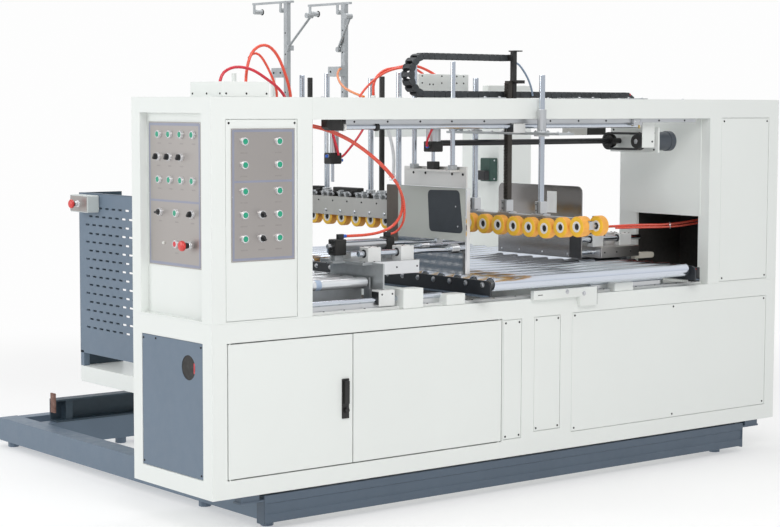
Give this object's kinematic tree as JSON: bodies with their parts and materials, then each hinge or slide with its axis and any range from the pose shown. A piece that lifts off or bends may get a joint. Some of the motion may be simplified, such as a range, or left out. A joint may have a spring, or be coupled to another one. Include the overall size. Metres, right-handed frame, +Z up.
{
  "type": "cartoning machine",
  "caption": "Carton folding and pressing machine: white portal cabinet with control panels, roller bed, press wheels, side plates and an infeed guard on a floor frame.",
  "frame": {"origin": "centre of the bounding box on the floor", "axes": "+X along the front towards the right tower, +Y back through the machine, +Z up"},
  "size_m": [3.1743, 2.6162, 2.107],
  "materials": {
    "white_paint": "semi-gloss off-white powder coat",
    "blue_grey_paint": "satin blue-grey paint",
    "brushed_steel": "brushed stainless steel",
    "ground_steel": "ground and polished",
    "black_metal": "black oxide",
    "black_plastic": "matte",
    "yellow_urethane": "satin",
    "rusty_steel": "rusty",
    "red_hose": "glossy polyurethane tube"
  },
  "bodies": {
    "machine_body": {"base_cabinet": "white_paint", "left_tower": "white_paint", "right_tower": "white_paint", "top_front_beam": "white_paint", "top_rear_beam": "white_paint", "head_tie": "white_paint", "drive_tie": "white_paint", "top_cover_box": "white_paint", "front_backing_panel": "white_paint", "right_tower_front_panel": "white_paint", "narrow_panel_left": "white_paint", "narrow_panel_right": "white_paint", "front_lower_panel": "white_paint", "rear_base": "white_paint", "rear_gantry": "white_paint", "infeed_table_box": "white_paint", "guard_stop_box": "white_paint", "front_bracket": "white_paint", "drive_plate": "white_paint", "floor_frame": "blue_grey_paint", "floor_rail_front": "blue_grey_paint", "rear_rail": "blue_grey_paint", "side_lower_panel": "blue_grey_paint", "infeed_guard": "blue_grey_paint", "side_control_panel": "brushed_steel", "front_control_panel": "brushed_steel", "roller_bed": "brushed_steel", "press_carriage": "brushed_steel", "tape_post_front": "brushed_steel", "tape_post_rear": "brushed_steel", "left_pusher": "brushed_steel", "right_pusher": "brushed_steel", "sill_shaft": "ground_steel", "left_roller_bed": "ground_steel", "top_linear_rail": "ground_steel", "chain_post": "black_metal", "drive_shaft": "black_metal", "lift_cylinder": "black_metal", "energy_chain": "black_plastic", "rail_stop": "rusty_steel", "hose_left_pusher": "red_hose", "hose_tower_top": "red_hose", "hose_tower_low": "red_hose", "hose_chain": "red_hose", "hose_right_pusher": "red_hose"},
    "left_door_leaf": {"left_door": "white_paint", "door_lock": "black_metal"},
    "right_door_leaf": {"right_door": "white_paint"},
    "press_slide": {"press_rods": "ground_steel", "press_wheels": "yellow_urethane"},
    "infeed_press_slide": {"infeed_press": "brushed_steel"},
    "roller_1": {"outfeed_roller_1": "ground_steel"},
    "roller_2": {"outfeed_roller_2": "ground_steel"},
    "roller_3": {"outfeed_roller_3": "ground_steel"},
    "roller_4": {"outfeed_roller_4": "ground_steel"},
    "left_plate_slide": {"left_plate": "ground_steel"},
    "right_plate_slide": {"right_plate": "ground_steel"},
    "flap_press_slide": {"flap_press_plate": "brushed_steel"},
    "front_dancer": {"dancer_arm_front": "brushed_steel"},
    "rear_dancer": {"dancer_arm_rear": "brushed_steel"}
  },
  "joints": [
    {"name": "left_door_hinge", "type": "hinge", "parent": "machine_body", "child": "left_door_leaf", "pos_m": [-1.48785, -0.9409, 0.218], "axis": [0, 0, -1], "range_deg": [0, 110]},
    {"name": "right_door_hinge", "type": "hinge", "parent": "machine_body", "child": "right_door_leaf", "pos_m": [-0.15085, -0.9409, 0.218], "axis": [0, 0, 1], "range_deg": [0, 110]},
    {"name": "press_height", "type": "slide", "parent": "machine_body", "child": "press_slide", "axis": [0, 0, 1], "range_m": [-0.12, 0.15]},
    {"name": "infeed_press_height", "type": "slide", "parent": "machine_body", "child": "infeed_press_slide", "axis": [0, 0, 1], "range_m": [-0.12, 0.15]},
    {"name": "left_plate_stroke", "type": "slide", "parent": "machine_body", "child": "left_plate_slide", "axis": [1, 0, 0], "range_m": [0, 0.1]},
    {"name": "right_plate_stroke", "type": "slide", "parent": "machine_body", "child": "right_plate_slide", "axis": [1, 0, 0], "range_m": [-0.1, 0]},
    {"name": "flap_press_stroke", "type": "slide", "parent": "machine_body", "child": "flap_press_slide", "axis": [0, 0, 1], "range_m": [-0.06, 0]},
    {"name": "front_dancer_pivot", "type": "hinge", "parent": "machine_body", "child": "front_dancer", "pos_m": [-0.15535, 0.1651, 1.868], "axis": [1, 0, 0], "range_deg": [-25, 40]},
    {"name": "rear_dancer_pivot", "type": "hinge", "parent": "machine_body", "child": "rear_dancer", "pos_m": [-0.15535, 0.5611, 1.884], "axis": [1, 0, 0], "range_deg": [-25, 40]},
    {"name": "roller_1_spin", "type": "hinge", "parent": "machine_body", "child": "roller_1", "pos_m": [0.33115, -0.9669, 0.882], "axis": [1, 0, 0], "continuous": true},
    {"name": "roller_2_spin", "type": "hinge", "parent": "machine_body", "child": "roller_2", "pos_m": [0.33115, -0.8619, 0.882], "axis": [1, 0, 0], "continuous": true},
    {"name": "roller_3_spin", "type": "hinge", "parent": "machine_body", "child": "roller_3", "pos_m": [0.33115, -0.7569, 0.882], "axis": [1, 0, 0], "continuous": true},
    {"name": "roller_4_spin", "type": "hinge", "parent": "machine_body", "child": "roller_4", "pos_m": [0.33115, -0.6519, 0.882], "axis": [1, 0, 0], "continuous": true}
  ]
}
